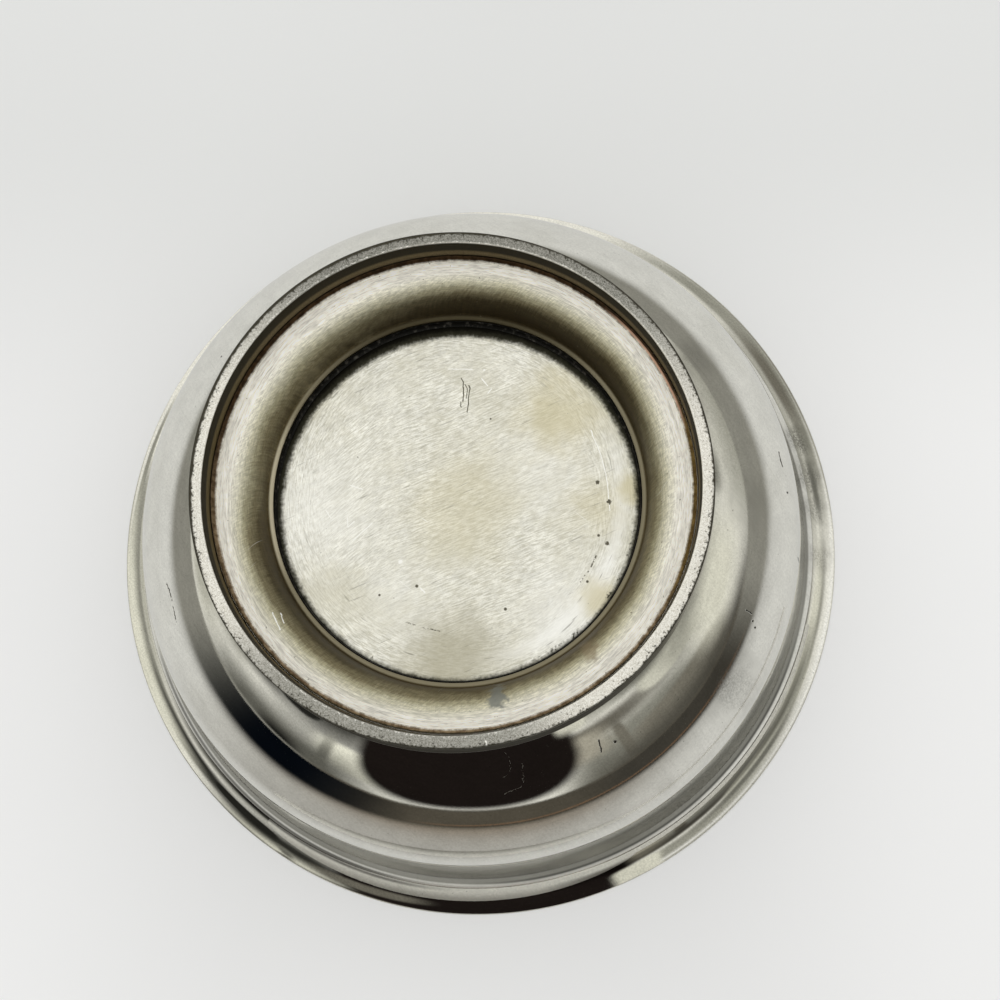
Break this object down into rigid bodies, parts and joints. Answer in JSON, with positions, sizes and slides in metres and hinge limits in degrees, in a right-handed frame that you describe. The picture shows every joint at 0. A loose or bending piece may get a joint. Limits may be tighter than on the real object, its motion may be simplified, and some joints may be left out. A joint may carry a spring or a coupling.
{
  "type": "footed bowl",
  "caption": "Silver-plated spun metal bowl with a flared lip, standing on a soldered collar foot with a heavy base ring; stored upside down on its rim.",
  "frame": {"origin": "centre of the circle that the rim rests on, with the bowl upside down as pictured; the rim touches z = 0", "axes": "+Z is the bowl's axis and points out of the foot; turn the part 180 degrees about X to stand it on its foot"},
  "size_m": [0.2286, 0.2286, 0.0985],
  "materials": {
    "polished_plate": "polished silver plate, worn and smudged",
    "brushed_plate": "brushed silver plate, turned warm by tarnish",
    "pitted_metal": "unpolished, pitted and worn",
    "dark_solder": "lumpy, black with tarnish",
    "brown_solder": "mottled copper brown"
  },
  "bodies": {
    "root": {"bowl_body": "polished_plate", "foot_collar": "brushed_plate", "base_ring": "pitted_metal", "neck_solder": "dark_solder", "ring_solder": "brown_solder"}
  },
  "joints": []
}
